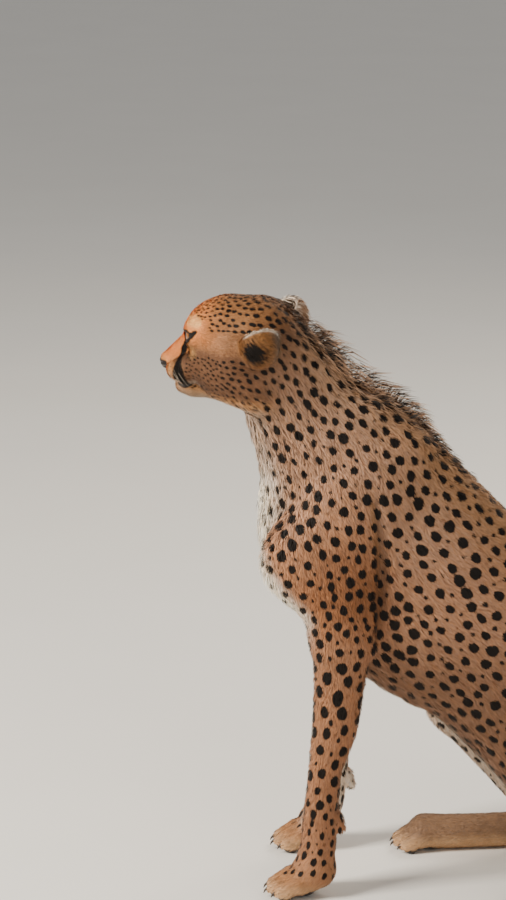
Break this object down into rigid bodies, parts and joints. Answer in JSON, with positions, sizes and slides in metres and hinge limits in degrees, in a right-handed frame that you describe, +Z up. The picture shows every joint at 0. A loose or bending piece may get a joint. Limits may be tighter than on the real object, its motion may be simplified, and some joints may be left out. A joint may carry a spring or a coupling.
{
  "type": "cheetah seated animal model",
  "caption": "Life-size still model of an adult cheetah sitting upright on its haunches, head turned to its right, tail laid on the floor round its left side",
  "frame": {"origin": "centre of the bounding box's footprint, on the floor the animal sits on", "axes": "-Y is the way the chest faces, +X is the animal's left side, +Z is up"},
  "size_m": [0.5374, 0.9836, 0.9073],
  "materials": {
    "coat": "short spotted tawny fur over skin",
    "pale_coat": "short pale fur on the feet",
    "tail_coat": "longer fur with dark rings",
    "eye": "amber eye, wet and clear",
    "nose_leather": "black nose skin, slightly moist"
  },
  "bodies": {
    "root": {"head": "coat", "neck": "coat", "trunk": "coat", "ear_left": "coat", "ear_right": "coat", "foreleg_left": "coat", "foreleg_right": "coat", "hindleg_left": "coat", "hindleg_right": "coat", "forepaw_left": "pale_coat", "forepaw_right": "pale_coat", "hindfoot_left": "pale_coat", "hindfoot_right": "pale_coat", "tail_base": "tail_coat", "tail_middle": "tail_coat", "tail_tip": "tail_coat", "eye_left": "eye", "eye_right": "eye", "nose": "nose_leather"}
  },
  "joints": []
}
